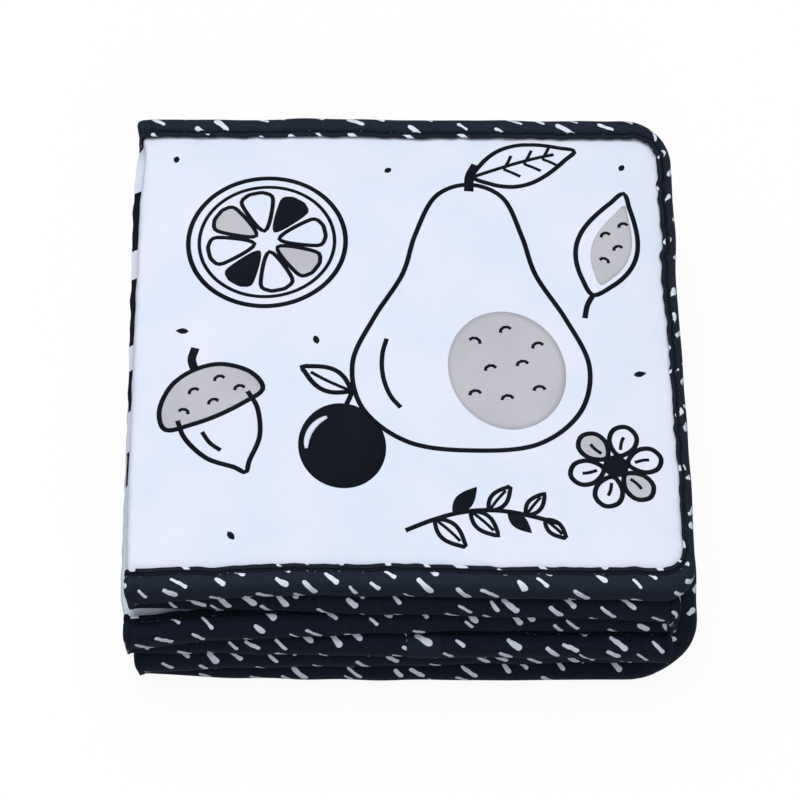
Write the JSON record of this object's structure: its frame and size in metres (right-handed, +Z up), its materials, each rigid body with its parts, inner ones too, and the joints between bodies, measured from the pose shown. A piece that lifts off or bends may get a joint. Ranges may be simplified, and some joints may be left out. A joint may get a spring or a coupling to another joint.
{
  "type": "crinkle cloth book",
  "caption": "Soft accordion cloth book for babies: padded, crinkly square pages in one folded strip, bound all round with tape, with rounded free ends.",
  "frame": {"origin": "middle of the folded book's outline, on the surface that page 6 rests on", "axes": "+Z up from the resting face; +X from the left folds towards the free ends of pages 1 and 6; +Y from the front edge, nearest the camera, to the back edge"},
  "size_m": [0.1868, 0.187, 0.0555],
  "materials": {
    "page_cloth": "smooth printed cotton, white with black and grey print",
    "binding_tape": "dark cotton binding tape with slanted pale dashes, topstitched",
    "wadding": "soft polyester wadding",
    "crinkle_film": "thin crinkled film"
  },
  "bodies": {
    "page_6": {"page_6_cloth_b": "page_cloth", "page_6_cloth_a": "page_cloth", "page_6_pad": "wadding", "page_6_crinkle_film": "crinkle_film", "page_6_binding": "binding_tape", "fold_5_6_cloth_a": "page_cloth", "fold_5_6_cloth_b": "page_cloth", "fold_5_6_front_binding": "binding_tape", "fold_5_6_back_binding": "binding_tape"},
    "page_5": {"page_5_cloth_a": "page_cloth", "page_5_cloth_b": "page_cloth", "page_5_pad": "wadding", "page_5_crinkle_film": "crinkle_film", "page_5_front_binding": "binding_tape", "page_5_back_binding": "binding_tape", "fold_4_5_cloth_a": "page_cloth", "fold_4_5_cloth_b": "page_cloth", "fold_4_5_front_binding": "binding_tape", "fold_4_5_back_binding": "binding_tape"},
    "page_4": {"page_4_cloth_b": "page_cloth", "page_4_cloth_a": "page_cloth", "page_4_pad": "wadding", "page_4_crinkle_film": "crinkle_film", "page_4_front_binding": "binding_tape", "page_4_back_binding": "binding_tape", "binding_end_lap": "binding_tape", "fold_3_4_cloth_a": "page_cloth", "fold_3_4_cloth_b": "page_cloth", "fold_3_4_front_binding": "binding_tape", "fold_3_4_back_binding": "binding_tape"},
    "page_3": {"page_3_cloth_a": "page_cloth", "page_3_cloth_b": "page_cloth", "page_3_pad": "wadding", "page_3_crinkle_film": "crinkle_film", "page_3_front_binding": "binding_tape", "page_3_back_binding": "binding_tape", "fold_2_3_cloth_a": "page_cloth", "fold_2_3_cloth_b": "page_cloth", "fold_2_3_front_binding": "binding_tape", "fold_2_3_back_binding": "binding_tape"},
    "page_2": {"page_2_cloth_b": "page_cloth", "page_2_cloth_a": "page_cloth", "page_2_pad": "wadding", "page_2_crinkle_film": "crinkle_film", "page_2_front_binding": "binding_tape", "page_2_back_binding": "binding_tape", "fold_1_2_cloth_a": "page_cloth", "fold_1_2_cloth_b": "page_cloth", "fold_1_2_front_binding": "binding_tape", "fold_1_2_back_binding": "binding_tape"},
    "page_1": {"page_1_cloth_a": "page_cloth", "page_1_cloth_b": "page_cloth", "page_1_pad": "wadding", "page_1_crinkle_film": "crinkle_film", "page_1_binding": "binding_tape"}
  },
  "joints": [
    {"name": "fold_5_6", "type": "hinge", "parent": "page_6", "child": "page_5", "pos_m": [-0.09246, 0, 0.0087], "axis": [0, -1, 0], "range_deg": [0, 180], "deforming": ["fold_5_6_cloth_a", "fold_5_6_cloth_b", "fold_5_6_front_binding", "fold_5_6_back_binding"]},
    {"name": "fold_4_5", "type": "hinge", "parent": "page_5", "child": "page_4", "pos_m": [0.08724, 0, 0.0181], "axis": [0, 1, 0], "range_deg": [0, 180], "deforming": ["fold_4_5_cloth_a", "fold_4_5_cloth_b", "fold_4_5_front_binding", "fold_4_5_back_binding"]},
    {"name": "fold_3_4", "type": "hinge", "parent": "page_4", "child": "page_3", "pos_m": [-0.09566, 0, 0.0275], "axis": [0, -1, 0], "range_deg": [0, 180], "deforming": ["fold_3_4_cloth_a", "fold_3_4_cloth_b", "fold_3_4_front_binding", "fold_3_4_back_binding"]},
    {"name": "fold_2_3", "type": "hinge", "parent": "page_3", "child": "page_2", "pos_m": [0.08724, 0, 0.0369], "axis": [0, 1, 0], "range_deg": [0, 180], "deforming": ["fold_2_3_cloth_a", "fold_2_3_cloth_b", "fold_2_3_front_binding", "fold_2_3_back_binding"]},
    {"name": "fold_1_2", "type": "hinge", "parent": "page_2", "child": "page_1", "pos_m": [-0.09276, 0, 0.0463], "axis": [0, -1, 0], "range_deg": [0, 180], "deforming": ["fold_1_2_cloth_a", "fold_1_2_cloth_b", "fold_1_2_front_binding", "fold_1_2_back_binding"]}
  ]
}
